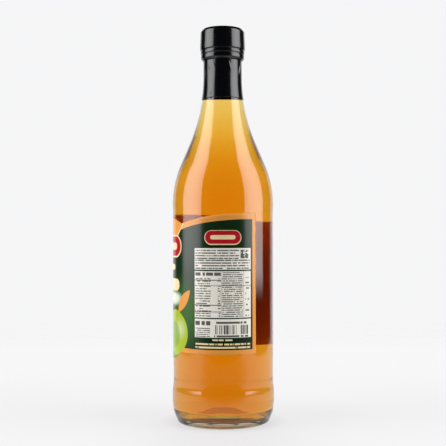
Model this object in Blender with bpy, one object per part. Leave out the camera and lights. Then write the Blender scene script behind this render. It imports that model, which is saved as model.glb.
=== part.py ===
"""A full half-litre glass vinegar bottle with a wrap label and a black capsule over its closed mouth.

The bottle stands on z = 0 with its axis on Z, and the middle of its front label faces -Y.
Every turned piece is drawn as an outline of (radius, height) points and spun round Z.
"""

import math

import bmesh
import bpy

MM = 0.001
GAP = 0.3 * MM  # clearance kept between pieces that touch on the real bottle

# Glass body
BAND_RADIUS = 33.5 * MM  # contact band just above the heel, the widest place
PANEL_RADIUS = 32.9 * MM  # shallow recess that the label sits in
SHOULDER_RADIUS = 33.1 * MM
SEAM_RADIUS = 33.05 * MM  # faint lip where the mould's base plate closes
HEEL_RADIUS = 32.9 * MM
FOOT_RADIUS = 28.6 * MM  # outer edge of the flat ring that the bottle stands on
FOOT_WIDTH = 2.4 * MM
FOOT_CURVE = 1.95 * MM
PUNT_HEIGHT = 3.2 * MM  # hollow under the base
SEAM_HEIGHT = 7.6 * MM
BAND_LOW = 12.0 * MM
BAND_HIGH = 21.6 * MM
EDGE_EASE = 1.0 * MM  # height over which the band's edges are eased
PANEL_TOP = 137.0 * MM
SHOULDER_START = 141.8 * MM
SHOULDER_CURVE = 67.0 * MM  # radius of the round shoulder, seen from the side
NECK_CURVE = 116.4 * MM  # radius of the hollow curve from shoulder to neck
SHOULDER_SLOPE = math.radians(23.3)  # lean of the straight stretch between the two curves
NECK_RADIUS = 12.35 * MM
WALL = 2.7 * MM
FLOOR_HEIGHT = 5.2 * MM  # inside, at the corner
FLOOR_DOME = 2.4 * MM
CORNER_CURVE = 6.0 * MM
FINISH_RADIUS = 12.9 * MM  # mouth ring that the closure grips
FINISH_START = 239.5 * MM
FINISH_EASE = 0.8 * MM
MOUTH_HEIGHT = 254.6 * MM

# Contents, filled to just above the capsule's cut edge
FILL_HEIGHT = 225.0 * MM

# Capsule: the closure and the film shrunk over it, as one solid
TOTAL_HEIGHT = 257.4 * MM
FILM = 0.3 * MM
CAP_RADIUS = 14.85 * MM
CAP_CHAMFER = 1.1 * MM
CAP_TAPER = 0.35 * MM  # the closure is this much narrower at its top
CAP_BAND_RADIUS = 14.5 * MM  # between the two pressed grooves
CAP_RIM_RADIUS = 14.25 * MM
UPPER_GROOVE = 243.0 * MM
LOWER_GROOVE = 240.6 * MM
GROOVE_DEPTH = 0.25 * MM
GROOVE_WIDTH = 0.9 * MM
CAP_RIM_HEIGHT = 238.6 * MM
STEP_DROP = 2.2 * MM  # height over which the film draws in from closure to neck
CAPSULE_EDGE = 211.2 * MM

# Label, with angles in degrees from the middle of the front, growing towards +X
LABEL_SHEET = 0.25 * MM
LABEL_HALF_ANGLE = 126.2
LABEL_LOW = 47.4 * MM
LABEL_HIGH = 136.0 * MM
NOTCH_ANGLE = 34.5  # where the arched front panel meets each side panel
NOTCH_HEIGHT = 129.6 * MM
ARCH_HEIGHT = 133.8 * MM
ROUNDEL_RADIUS = 22.0 * MM
ROUNDEL_HEIGHT = 64.0 * MM  # centre of the round picture, which hangs below the label's edge
ROUNDEL_OFFSET = 3.8 * MM  # how far it lies towards +X from the middle of the front
LABEL_STEP = 4.0  # degrees between the label's upright folds

GLASS_SIDES = 64
VINEGAR_SIDES = 48
CAPSULE_SIDES = 48


def arc(centre, radius, start, end, steps):
    """Points on a circle in the outline's plane, from one angle in radians to another."""
    points = []
    for i in range(steps + 1):
        angle = start + (end - start) * i / steps
        points.append((centre[0] + radius * math.cos(angle), centre[1] + radius * math.sin(angle)))
    return points


def neck_height():
    """Height where the hollow curve runs out into the straight neck."""
    drawn_in = 1 - math.cos(SHOULDER_SLOPE)
    cone_foot = SHOULDER_RADIUS - SHOULDER_CURVE * drawn_in
    cone_head = NECK_RADIUS + NECK_CURVE * drawn_in
    rise = (cone_foot - cone_head) / math.tan(SHOULDER_SLOPE)
    return SHOULDER_START + rise + (SHOULDER_CURVE + NECK_CURVE) * math.sin(SHOULDER_SLOPE)


def upper_outline(inset, steps):
    """Shoulder, straight stretch and neck curve, from low to high, moved inwards by inset."""
    shoulder_centre = (SHOULDER_RADIUS - SHOULDER_CURVE, SHOULDER_START)
    neck_centre = (NECK_RADIUS + NECK_CURVE, neck_height())
    shoulder = arc(shoulder_centre, SHOULDER_CURVE - inset, 0, SHOULDER_SLOPE, steps)
    neck = arc(neck_centre, NECK_CURVE + inset, math.pi + SHOULDER_SLOPE, math.pi, steps)
    return shoulder + neck


def cavity_outline(inset, steps):
    """Inside of the bottle from the middle of its floor up to the start of the straight bore."""
    side = SHOULDER_RADIUS - inset
    curve = CORNER_CURVE - (inset - WALL)
    floor = FLOOR_HEIGHT + (inset - WALL)
    corner_centre = (side - curve, floor + curve)
    dome = [(0.0, floor + FLOOR_DOME), (corner_centre[0] * 0.55, floor + FLOOR_DOME * 0.7)]
    corner = arc(corner_centre, curve, -math.pi / 2, 0, 4)
    return dome + corner + upper_outline(inset, steps)


def radius_at(outline, height):
    """Radius of an outline at a height, read along its straight stretches."""
    for low, high in zip(outline, outline[1:]):
        if low[1] <= height <= high[1]:
            share = (height - low[1]) / max(high[1] - low[1], 1e-9)
            return low[0] + (high[0] - low[0]) * share
    return outline[-1][0]


def placed(name, shape, material):
    """Turns a finished bmesh into a smooth-shaded object with its material."""
    bmesh.ops.recalc_face_normals(shape, faces=shape.faces)
    mesh = bpy.data.meshes.new(name)
    shape.to_mesh(mesh)
    shape.free()
    mesh.materials.append(material)
    mesh.shade_smooth()
    mesh.set_sharp_from_angle(angle=math.radians(35))
    piece = bpy.data.objects.new(name, mesh)
    bpy.context.scene.collection.objects.link(piece)
    return piece


def turned(name, outline, sides, material):
    """Spins an outline that starts and ends on the axis into one closed solid."""
    shape = bmesh.new()
    points = [shape.verts.new((r, 0.0, z)) for r, z in outline]
    edges = [shape.edges.new(pair) for pair in zip(points, points[1:])]
    bmesh.ops.spin(
        shape,
        geom=points + edges,
        cent=(0, 0, 0),
        axis=(0, 0, 1),
        angle=2 * math.pi,
        steps=sides,
        use_merge=True,
    )
    bmesh.ops.remove_doubles(shape, verts=shape.verts, dist=1e-6)
    return placed(name, shape, material)


def finish_material(name, colour, roughness, transmission=0.0):
    """A plain Principled material in one colour."""
    material = bpy.data.materials.new(name)
    material.use_nodes = True
    shader = material.node_tree.nodes["Principled BSDF"]
    shader.inputs["Base Color"].default_value = (*colour, 1.0)
    shader.inputs["Roughness"].default_value = roughness
    shader.inputs["Metallic"].default_value = 0.0
    shader.inputs["Transmission Weight"].default_value = transmission
    return material


def foot_outline():
    """Under the bottle: the punt, the standing ring and the sloped heel up to the seam lip."""
    inner_foot = FOOT_RADIUS - FOOT_WIDTH
    punt = [(0.0, PUNT_HEIGHT), (inner_foot * 0.45, PUNT_HEIGHT * 0.85)]
    punt.append((inner_foot * 0.85, PUNT_HEIGHT * 0.35))
    ring = [(inner_foot, 0.15 * MM), (inner_foot + 0.5 * MM, 0.0)]
    corner = arc((FOOT_RADIUS, FOOT_CURVE), FOOT_CURVE, -math.pi / 2, math.radians(-28), 2)
    heel = [(HEEL_RADIUS, SEAM_HEIGHT - 1.1 * MM)]
    lip = [(SEAM_RADIUS, SEAM_HEIGHT - 0.2 * MM), (SEAM_RADIUS, SEAM_HEIGHT + 0.3 * MM)]
    lip.append((HEEL_RADIUS, SEAM_HEIGHT + 1.2 * MM))
    return punt + ring + corner + heel + lip


def side_outline():
    """The contact band, with eased edges, and the label panel above it."""
    rounding = 0.15 * MM
    lower = [(HEEL_RADIUS, BAND_LOW - EDGE_EASE), (BAND_RADIUS - rounding, BAND_LOW)]
    lower.append((BAND_RADIUS, BAND_LOW + EDGE_EASE))
    upper = [(BAND_RADIUS, BAND_HIGH - EDGE_EASE), (BAND_RADIUS - rounding, BAND_HIGH)]
    panel = [(PANEL_RADIUS, BAND_HIGH + 2 * EDGE_EASE), (PANEL_RADIUS, PANEL_TOP)]
    return lower + upper + panel


def make_glass(material):
    """The bottle itself: outside from the punt to the mouth, then the inside back to its floor."""
    bore = NECK_RADIUS - WALL
    outside = foot_outline() + side_outline() + upper_outline(0.0, 6)
    outside.append((NECK_RADIUS, FINISH_START - FINISH_EASE))
    outside.append((FINISH_RADIUS, FINISH_START))
    outside.append((FINISH_RADIUS, MOUTH_HEIGHT - FINISH_EASE))
    mouth = [(FINISH_RADIUS - FINISH_EASE, MOUTH_HEIGHT), (bore + FINISH_EASE, MOUTH_HEIGHT)]
    mouth.append((bore, MOUTH_HEIGHT - FINISH_EASE))
    inside = cavity_outline(WALL, 5)
    return turned("glass_bottle", outside + mouth + inside[::-1], GLASS_SIDES, material)


def make_vinegar(material):
    """The drink, a gap inside the glass all round, up to its level in the neck."""
    whole = cavity_outline(WALL + GAP, 5)
    outline = [point for point in whole if point[1] < FILL_HEIGHT - GAP]
    outline += [(radius_at(whole, FILL_HEIGHT), FILL_HEIGHT), (0.0, FILL_HEIGHT)]
    return turned("vinegar", outline, VINEGAR_SIDES, material)


def capsule_side():
    """Outside of the wide part, from its rim up past the two grooves to the top's edge."""
    half = GROOVE_WIDTH / 2
    side = [(CAP_RIM_RADIUS, CAP_RIM_HEIGHT)]
    side.append((CAP_RIM_RADIUS, LOWER_GROOVE - half))
    side.append((CAP_RIM_RADIUS - GROOVE_DEPTH, LOWER_GROOVE))
    side.append((CAP_BAND_RADIUS, LOWER_GROOVE + half))
    side.append((CAP_BAND_RADIUS, UPPER_GROOVE - half))
    side.append((CAP_BAND_RADIUS - GROOVE_DEPTH, UPPER_GROOVE))
    side.append((CAP_RADIUS, UPPER_GROOVE + 2 * half))
    side.append((CAP_RADIUS - CAP_TAPER, TOTAL_HEIGHT - CAP_CHAMFER))
    side.append((CAP_RADIUS - CAP_TAPER - CAP_CHAMFER * 0.3, TOTAL_HEIGHT - CAP_CHAMFER * 0.35))
    side.append((CAP_RADIUS - CAP_TAPER - CAP_CHAMFER, TOTAL_HEIGHT))
    return side


def make_capsule(material):
    """A cup over the mouth that draws in under its rim and runs down the neck to a cut edge."""
    glass = upper_outline(0.0, 6)
    step_height = CAP_RIM_HEIGHT - STEP_DROP
    heights = [CAPSULE_EDGE + (step_height - CAPSULE_EDGE) * i / 5 for i in range(6)]
    sleeve = [(radius_at(glass, z) + GAP, z) for z in heights]
    grip = FINISH_RADIUS + GAP
    roof = MOUTH_HEIGHT + GAP
    inside = sleeve + [(NECK_RADIUS + GAP, FINISH_START - FINISH_EASE - GAP)]
    inside += [(grip, FINISH_START - GAP), (grip, roof), (0.0, roof)]
    outside = [(r + FILM, z) for r, z in sleeve] + capsule_side() + [(0.0, TOTAL_HEIGHT)]
    return turned("capsule", outside[::-1] + inside, CAPSULE_SIDES, material)


def label_top(angle):
    """Height of the top edge: an arched front, a right panel that rises, a left one that humps."""
    rise = LABEL_HIGH - NOTCH_HEIGHT
    if abs(angle) <= NOTCH_ANGLE:
        share = angle / NOTCH_ANGLE
        return ARCH_HEIGHT - (ARCH_HEIGHT - NOTCH_HEIGHT) * share * share
    share = (abs(angle) - NOTCH_ANGLE) / (LABEL_HALF_ANGLE - NOTCH_ANGLE)
    if angle > 0:
        return NOTCH_HEIGHT + rise * (1 - (1 - share) ** 2.3)
    return NOTCH_HEIGHT + rise * math.sin(math.pi * share**0.7)


def label_bottom(angle):
    """Height of the bottom edge: straight, with the front roundel bulging below it."""
    along = math.radians(angle) * PANEL_RADIUS - ROUNDEL_OFFSET
    if abs(along) >= ROUNDEL_RADIUS:
        return LABEL_LOW
    return min(LABEL_LOW, ROUNDEL_HEIGHT - math.sqrt(ROUNDEL_RADIUS**2 - along**2))


def make_label(material):
    """One thin printed sheet wrapped round the panel, flat between its upright folds."""
    folds = round(LABEL_HALF_ANGLE / LABEL_STEP)
    angles = [LABEL_HALF_ANGLE * i / folds for i in range(-folds, folds + 1)]
    angles = sorted(angles + [-NOTCH_ANGLE, NOTCH_ANGLE])
    inner = PANEL_RADIUS + GAP
    outer = inner + LABEL_SHEET
    shape = bmesh.new()
    columns = []
    for angle in angles:
        turn = math.radians(angle)
        corners = [(inner, label_bottom(angle)), (outer, label_bottom(angle))]
        corners += [(outer, label_top(angle)), (inner, label_top(angle))]
        places = [(math.sin(turn) * r, -math.cos(turn) * r, z) for r, z in corners]
        columns.append([shape.verts.new(place) for place in places])
    for left, right in zip(columns, columns[1:]):
        for i in range(4):
            j = (i + 1) % 4
            shape.faces.new((left[i], right[i], right[j], left[j]))
    shape.faces.new(columns[0])
    shape.faces.new(columns[-1])
    bmesh.ops.triangulate(shape, faces=shape.faces)
    return placed("label", shape, material)


def main():
    for old in list(bpy.data.objects):
        bpy.data.objects.remove(old)
    make_glass(finish_material("clear_glass", (0.93, 0.95, 0.94), 0.03, transmission=1.0))
    make_vinegar(finish_material("amber_vinegar", (0.66, 0.21, 0.01), 0.05, transmission=0.6))
    make_label(finish_material("printed_label", (0.02, 0.09, 0.04), 0.35))
    make_capsule(finish_material("black_film", (0.008, 0.008, 0.01), 0.12))


main()
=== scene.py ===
# %% [markdown]
# # A full vinegar bottle, from the inside out
# The bottle is clear turned glass with amber vinegar in it, a printed paper label wrapped most of
# the way round, and a black film shrunk over the closed mouth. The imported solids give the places
# and sizes. Each of them is replaced here by a finer surface with its real finish.

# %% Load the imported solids
import math

import bpy
import numpy as np
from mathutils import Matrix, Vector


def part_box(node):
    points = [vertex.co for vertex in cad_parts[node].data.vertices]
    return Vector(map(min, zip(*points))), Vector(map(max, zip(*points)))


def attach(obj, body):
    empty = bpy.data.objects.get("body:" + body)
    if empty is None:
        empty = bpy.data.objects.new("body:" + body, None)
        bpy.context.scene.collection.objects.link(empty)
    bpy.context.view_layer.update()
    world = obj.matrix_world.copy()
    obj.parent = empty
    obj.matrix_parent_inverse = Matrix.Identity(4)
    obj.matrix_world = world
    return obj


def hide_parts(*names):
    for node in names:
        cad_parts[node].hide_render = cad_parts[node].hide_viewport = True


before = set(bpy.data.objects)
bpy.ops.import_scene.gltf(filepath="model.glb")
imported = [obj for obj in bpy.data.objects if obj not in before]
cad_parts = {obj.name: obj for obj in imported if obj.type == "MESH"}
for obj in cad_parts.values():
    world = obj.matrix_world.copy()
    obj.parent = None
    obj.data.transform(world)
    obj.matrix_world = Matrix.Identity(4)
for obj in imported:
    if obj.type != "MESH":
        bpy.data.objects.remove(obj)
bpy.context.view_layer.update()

MM = 0.001
glass_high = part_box("glass_bottle")[1]
capsule_low, capsule_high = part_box("capsule")
label_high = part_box("label")[1]
vinegar_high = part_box("vinegar")[1]
print("bottle", round(glass_high[0] * 2 / MM, 2), "mm across,", round(capsule_high[2] / MM, 2), "mm tall")

# %% [markdown]
# ## The camera
# The photograph was taken from low down and close by, so the lens sits a little under the middle
# of the bottle and its axis is level. A level camera keeps upright lines upright. The frame is
# moved up with the lens shift, as a view camera's is, instead of tilting the camera.

# %% Place the camera
VIEW_AZIMUTH = math.radians(87.7)  # the photograph looks at the seam side of the label
CAMERA_DISTANCE = 587.2 * MM
CAMERA_HEIGHT = 122.1 * MM
CAMERA_ROLL = math.radians(0.14)
LENS = 71.8
SENSOR = 36.0
FRAME_PIXELS = 446
HORIZON_DROP = 12  # pixels between the middle of the frame and the camera's level

toward_camera = np.array([math.sin(VIEW_AZIMUTH), -math.cos(VIEW_AZIMUTH), 0.0])
to_the_right = np.array([math.cos(VIEW_AZIMUTH), math.sin(VIEW_AZIMUTH), 0.0])


def add_camera():
    """A level camera on the line from the bottle's axis towards the viewer."""
    lens = bpy.data.cameras.new("camera")
    lens.lens = LENS
    lens.sensor_width = SENSOR
    lens.shift_y = HORIZON_DROP / FRAME_PIXELS
    camera = bpy.data.objects.new("camera", lens)
    bpy.context.scene.collection.objects.link(camera)
    camera.location = toward_camera * CAMERA_DISTANCE + np.array([0.0, 0.0, CAMERA_HEIGHT])
    camera.rotation_euler = (math.radians(90), CAMERA_ROLL, VIEW_AZIMUTH)
    bpy.context.scene.camera = camera
    return camera


camera = add_camera()
print("camera at", [round(v, 4) for v in camera.location])

# %% [markdown]
# ## Numbers into nodes
# A material is a small circuit. These helpers feed a socket with either a plain value or another
# node's output, so that the finishes below read like sums and not like wiring.

# %% Node helpers


def light_value(value):
    """One display value from 0 to 255 as the linear light that the shaders work in."""
    share = value / 255
    return share / 12.92 if share <= 0.04045 else ((share + 0.055) / 1.055) ** 2.4


def shade(red, green, blue):
    """A colour given as display values, in linear light with full opacity."""
    return (light_value(red), light_value(green), light_value(blue), 1.0)


def feed(tree, socket, value):
    """Links an output to a socket, or sets the socket where the value is a plain one."""
    if isinstance(value, bpy.types.NodeSocket):
        tree.links.new(value, socket)
    else:
        socket.default_value = value


def maths(tree, operation, *values):
    """One Math node, fed in order."""
    node = tree.nodes.new("ShaderNodeMath")
    node.operation = operation
    for socket, value in zip(node.inputs, values):
        feed(tree, socket, value)
    return node.outputs[0]


def new_material(name):
    """A material with its one Principled shader and the tree that feeds it."""
    material = bpy.data.materials.new(name)
    material.use_nodes = True
    return material, material.node_tree, material.node_tree.nodes["Principled BSDF"]


def noise(tree, vector, scale, detail, roughness):
    """A cloudy grey field over the given coordinates, centred near one half."""
    node = tree.nodes.new("ShaderNodeTexNoise")
    feed(tree, node.inputs["Vector"], vector)
    node.inputs["Scale"].default_value = scale
    node.inputs["Detail"].default_value = detail
    node.inputs["Roughness"].default_value = roughness
    return node.outputs["Fac"]


def relief(tree, shader, height, distance, strength):
    """Bends the shader's normal by a height field whose full range is the given distance."""
    bump = tree.nodes.new("ShaderNodeBump")
    bump.inputs["Strength"].default_value = strength
    bump.inputs["Distance"].default_value = distance
    feed(tree, bump.inputs["Height"], height)
    tree.links.new(bump.outputs["Normal"], shader.inputs["Normal"])


def object_place(tree):
    """Object coordinates, which stay with the piece."""
    return tree.nodes.new("ShaderNodeTexCoord").outputs["Object"]


# %% Helpers for ramps, places and mixes
def smooth_ramp(tree, value, start, end, first, last):
    """Runs smoothly from one number to another between two values."""
    node = tree.nodes.new("ShaderNodeMapRange")
    node.interpolation_type = "SMOOTHSTEP"
    feed(tree, node.inputs["Value"], value)
    node.inputs["From Min"].default_value = start
    node.inputs["From Max"].default_value = end
    node.inputs["To Min"].default_value = first
    node.inputs["To Max"].default_value = last
    return node.outputs["Result"]


def component(tree, place, direction):
    """How far a place lies along a direction."""
    node = tree.nodes.new("ShaderNodeVectorMath")
    node.operation = "DOT_PRODUCT"
    node.inputs[1].default_value = tuple(float(v) for v in direction)
    tree.links.new(place, node.inputs[0])
    return node.outputs["Value"]


def diagonal(tree, across, up):
    """Distance from its two parts at right angles: the root of the sum of their squares."""
    squares = [maths(tree, "MULTIPLY", part, part) for part in (across, up)]
    return maths(tree, "SQRT", maths(tree, "ADD", *squares))


def ranged(tree, value, low, high):
    """Spreads a field that runs from 0 to 1 evenly over two other values."""
    node = tree.nodes.new("ShaderNodeMapRange")
    feed(tree, node.inputs["Value"], value)
    node.inputs["To Min"].default_value = low
    node.inputs["To Max"].default_value = high
    return node.outputs["Result"]


def mixed(tree, share, first, second):
    """The first colour at a share of 0, the second at 1, and their blend between."""
    node = tree.nodes.new("ShaderNodeMix")
    node.data_type = "RGBA"
    sockets = {socket.identifier: socket for socket in node.inputs}
    feed(tree, sockets["Factor_Float"], share)
    feed(tree, sockets["A_Color"], first)
    feed(tree, sockets["B_Color"], second)
    return next(socket for socket in node.outputs if socket.identifier == "Result_Color")


# %% [markdown]
# ## Light and floor
# Glass is drawn by what stands round it. Behind the bottle is a white backdrop, at each side a
# tall softbox, and the room on the camera's side is dark, so that the softboxes show as two clean
# bands on the glass. The world holds the backdrop and the dark room. What shines through the
# glass always comes from something pale, as it does from a lit backdrop. The softboxes light what
# is matt and gleam on every skin, but a path inside the glass doesn't meet them. There they would
# show as hard orange patches along the bottle's edges.

# %% Light the set
BACKDROP = (0.918, 0.918, 0.928, 1.0)
ROOM_LIGHT = 0.012  # what the dark side of the room gives back
THROUGH_LIGHT = 1.11  # the backdrop is lit a little more strongly right behind the bottle
BACKDROP_EDGE = math.cos(math.radians(139))  # the backdrop reaches this far round from behind
BACKDROP_BLUR = 0.04  # half the width of its soft edge, as a difference of cosines
AT_LEAST_ONE = 0.5  # parts a count of no bounces from a count of one or more
SOFTBOX_SIDE = 600 * MM
SOFTBOX_FRONT = 520 * MM
SOFTBOX_BACK = -115 * MM
SOFTBOX_LOW = 34 * MM
SOFTBOX_HIGH = 1000 * MM
SOFTBOX_LIGHT = 5.3  # times white
REAR_SHARE, REAR_REACH = 0.66, 120 * MM  # light at the rear edge, and where it is full
FRONT_SHARE, FRONT_REACH = 0.7, 250 * MM  # light at the front edge, and where it starts to fall
LOW_REACH = 80 * MM  # height where the rise from the dark lower edge ends


def add_world():
    """White for the lens and through glass, and for reflections white behind, dark in front."""
    world = bpy.data.worlds.new("studio")
    world.use_nodes = True
    bpy.context.scene.world = world
    world.cycles.sampling_method = "NONE"
    tree = world.node_tree
    background = tree.nodes["Background"]
    direction = tree.nodes.new("ShaderNodeTexCoord").outputs["Generated"]
    facing = component(tree, direction, toward_camera)
    near, far = BACKDROP_EDGE + BACKDROP_BLUR, BACKDROP_EDGE - BACKDROP_BLUR
    behind = smooth_ramp(tree, facing, near, far, ROOM_LIGHT, 1.0)
    path = tree.nodes.new("ShaderNodeLightPath")
    straight = maths(tree, "LESS_THAN", path.outputs["Glossy Depth"], AT_LEAST_ONE)
    refracted = maths(tree, "MULTIPLY", path.outputs["Is Transmission Ray"], THROUGH_LIGHT)
    through = maths(tree, "MULTIPLY", refracted, straight)
    seen = maths(tree, "MAXIMUM", path.outputs["Is Camera Ray"], through)
    feed(tree, background.inputs["Strength"], maths(tree, "MAXIMUM", seen, behind))
    background.inputs["Color"].default_value = BACKDROP


def softbox_glow(lamp):
    """The lamp's own nodes: brightest in its middle, and dark for what looks at it through glass.

    Real softboxes fall off towards their edges. The light is a smooth rise from the rear edge
    times a smooth fall to the front edge, times a rise from the lower edge. A path that has gone
    into glass meets the lamp only after something matt, so the light that it throws still counts.
    """
    lamp.use_nodes = True
    tree = lamp.node_tree
    emission = tree.nodes["Emission"]
    path = tree.nodes.new("ShaderNodeLightPath")
    scattered = maths(tree, "GREATER_THAN", path.outputs["Diffuse Depth"], AT_LEAST_ONE)
    outside = maths(tree, "LESS_THAN", path.outputs["Transmission Depth"], AT_LEAST_ONE)
    place = tree.nodes.new("ShaderNodeNewGeometry").outputs["Position"]
    forward = component(tree, place, toward_camera)
    upward = component(tree, place, (0.0, 0.0, 1.0))
    rear = smooth_ramp(tree, forward, SOFTBOX_BACK, REAR_REACH, REAR_SHARE, 1.0)
    front = smooth_ramp(tree, forward, FRONT_REACH, SOFTBOX_FRONT, 1.0, FRONT_SHARE)
    low = smooth_ramp(tree, upward, SOFTBOX_LOW, LOW_REACH, 0.0, 1.0)
    glow = maths(tree, "MULTIPLY", low, maths(tree, "MULTIPLY", rear, front))
    lit = maths(tree, "MAXIMUM", scattered, outside)
    feed(tree, emission.inputs["Strength"], maths(tree, "MULTIPLY", glow, lit))


def add_softbox(name, side):
    """A tall rectangle of light beside the bottle, which faces its axis."""
    lamp = bpy.data.lights.new(name, "AREA")
    lamp.shape = "RECTANGLE"
    lamp.size = SOFTBOX_FRONT - SOFTBOX_BACK
    lamp.size_y = SOFTBOX_HIGH - SOFTBOX_LOW
    lamp.energy = SOFTBOX_LIGHT * math.pi * lamp.size * lamp.size_y
    softbox_glow(lamp)
    softbox = bpy.data.objects.new(name, lamp)
    bpy.context.scene.collection.objects.link(softbox)
    middle = toward_camera * (SOFTBOX_FRONT + SOFTBOX_BACK) / 2
    height = np.array([0.0, 0.0, (SOFTBOX_HIGH + SOFTBOX_LOW) / 2])
    softbox.location = middle + to_the_right * SOFTBOX_SIDE * side + height
    softbox.rotation_euler = (math.radians(90), 0.0, VIEW_AZIMUTH + math.radians(90) * side)
    softbox.visible_camera = False
    return softbox


add_world()
for softbox_name, softbox_side in (("softbox_left", -1), ("softbox_right", 1)):
    softbox = add_softbox(softbox_name, softbox_side)
    print(softbox_name, "at", [round(v, 3) for v in softbox.location])

# %% [markdown]
# The floor is a white sheet on a table. It has a little light of its own, which stands for the
# lit sweep that it is part of, and melts into the backdrop at its far end. It ends close in front
# of the bottle and at both sides, and the glass shows those edges low on its sides. A thin place
# in it, just in front of the picture, gives the foot its dark reflections. Its light is painted
# with soft shadows round the foot and in front of the bottle, and painted dark amber under the
# bottle, where little light gets and that little has come through the drink.

# %% Lay the floor
TABLE_SIDE = 430 * MM
TABLE_FRONT = 300 * MM
TABLE_BACK = -720 * MM
TABLE_LIFT = 0.11  # the share by which the sheet is brighter where it is seen through glass
FAR_LIGHT, NEAR_LIGHT = 0.832, 0.757
# painted shadows: each one dims the sheet's own light round the foot or in front of the bottle
PAINTED_SHADES = [  # middle ahead of the bottle's axis, where the shade starts to fade and ends, light in it
    (0.0, 30 * MM, 130 * MM, 0.975),
    (52 * MM, 14 * MM, 80 * MM, 0.94),
    (0.0, 27 * MM, 44 * MM, 0.86),
]
# painted shade: under the bottle the sheet's own light is painted dark amber, for the little light that
# reaches it through the drink
UNDER_START, UNDER_END = 25 * MM, 31 * MM  # where the tint from the drink fades out
UNDER_PAINTED_SHADE = (0.42, 0.3, 0.19, 1.0)
SHEET_TINT = (1.0, 0.994, 1.006, 1.0)
THIN_MIDDLE = 235 * MM  # the thin place in front of the picture
THIN_START, THIN_END = 80 * MM, 165 * MM
THIN_SQUEEZE = 0.6  # the thin place is wider than it is deep
THIN_LEAST = 0.2


def far_from(tree, forward, sideways, middle, squeeze):
    """Distance from a place in front of the bottle, with the sideways part counted squeeze times."""
    ahead = maths(tree, "SUBTRACT", forward, middle)
    return diagonal(tree, ahead, maths(tree, "MULTIPLY", sideways, squeeze))


def floor_light(tree, forward, sideways):
    """The sheet's own light: even, a little less nearer the lens, times each painted shadow."""
    light = smooth_ramp(tree, forward, -400 * MM, 60 * MM, FAR_LIGHT, NEAR_LIGHT)
    for middle, start, end, least in PAINTED_SHADES:
        reach = far_from(tree, forward, sideways, middle, 1.0)
        light = maths(tree, "MULTIPLY", light, smooth_ramp(tree, reach, start, end, least, 1.0))
    path = tree.nodes.new("ShaderNodeLightPath")
    through = maths(tree, "GREATER_THAN", path.outputs["Transmission Depth"], AT_LEAST_ONE)
    return maths(tree, "MULTIPLY", light, maths(tree, "MULTIPLY_ADD", through, TABLE_LIFT, 1.0))


def floor_cover(tree, forward, sideways):
    """How solid the sheet is: it fades out at its edges and in the thin place."""
    beside = smooth_ramp(tree, maths(tree, "ABSOLUTE", sideways), 325 * MM, 385 * MM, 1.0, 0.0)
    behind = smooth_ramp(tree, forward, -320 * MM, -680 * MM, 1.0, 0.0)
    ahead = smooth_ramp(tree, forward, 255 * MM, 288 * MM, 1.0, 0.0)
    reach = far_from(tree, forward, sideways, THIN_MIDDLE, THIN_SQUEEZE)
    thin = smooth_ramp(tree, reach, THIN_START, THIN_END, THIN_LEAST, 1.0)
    cover = maths(tree, "MULTIPLY", beside, behind)
    return maths(tree, "MULTIPLY", cover, maths(tree, "MULTIPLY", ahead, thin))


def floor_finish():
    """A pale matt sheet, with painted dark amber shade under the bottle, that fades out at its edges."""
    material, tree, shader = new_material("pale_floor")
    place = object_place(tree)
    forward = component(tree, place, toward_camera)
    sideways = component(tree, place, to_the_right)
    shader.inputs["Base Color"].default_value = (0.13, 0.129, 0.131, 1.0)
    shader.inputs["Roughness"].default_value = 0.7
    shader.inputs["Specular IOR Level"].default_value = 0.1
    reach = far_from(tree, forward, sideways, 0.0, 1.0)
    under = smooth_ramp(tree, reach, UNDER_START, UNDER_END, 0.0, 1.0)
    feed(tree, shader.inputs["Emission Color"], mixed(tree, under, UNDER_PAINTED_SHADE, SHEET_TINT))
    feed(tree, shader.inputs["Emission Strength"], floor_light(tree, forward, sideways))
    feed(tree, shader.inputs["Alpha"], floor_cover(tree, forward, sideways))
    return material


def add_floor():
    """A flat rectangle just under the bottle, square to the camera."""
    corners = [(TABLE_FRONT, TABLE_SIDE), (TABLE_BACK, TABLE_SIDE)]
    corners += [(ahead, -beside) for ahead, beside in reversed(corners)]
    points = [(toward_camera * ahead + to_the_right * beside).tolist() for ahead, beside in corners]
    mesh = bpy.data.meshes.new("floor")
    mesh.from_pydata(points, [], [[0, 1, 2, 3]])
    mesh.materials.append(floor_finish())
    floor = bpy.data.objects.new("floor", mesh)
    bpy.context.scene.collection.objects.link(floor)


add_floor()

# %% [markdown]
# ## Turned surfaces
# Glass, drink and film are all turned: one outline carried round the axis. The outline is a list
# of radius and height, and the grid of all its places can be pushed about before it becomes a
# mesh, which is how the small marks of the mould and the creases of the film are made.

# %% Outline and turning helpers
GLASS_COLUMNS = 288
DRINK_COLUMNS = 256
FILM_COLUMNS = 320
SAME_PLACE = 1e-7  # points closer than this are one point
EASE_SHARE = 0.45  # an easing takes at most this share of a straight stretch


def line(start, end, count):
    """A straight stretch, with its points drawn together towards both ends."""
    share = 0.5 - 0.5 * np.cos(np.linspace(0, math.pi, count + 1))
    return np.outer(1 - share, start) + np.outer(share, end)


def arc(centre, radius, start, end, count):
    """A round stretch: centre plus radius times cosine and sine of an evenly growing angle."""
    angle = np.linspace(start, end, count + 1)
    return np.stack([centre[0] + radius * np.cos(angle), centre[1] + radius * np.sin(angle)], axis=1)


def joined(*stretches):
    """Stretches end to end, without the points that repeat where two of them meet."""
    points = np.concatenate(stretches)
    step = np.linalg.norm(np.diff(points, axis=0), axis=1)
    return points[np.concatenate([[True], step > SAME_PLACE])]


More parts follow.
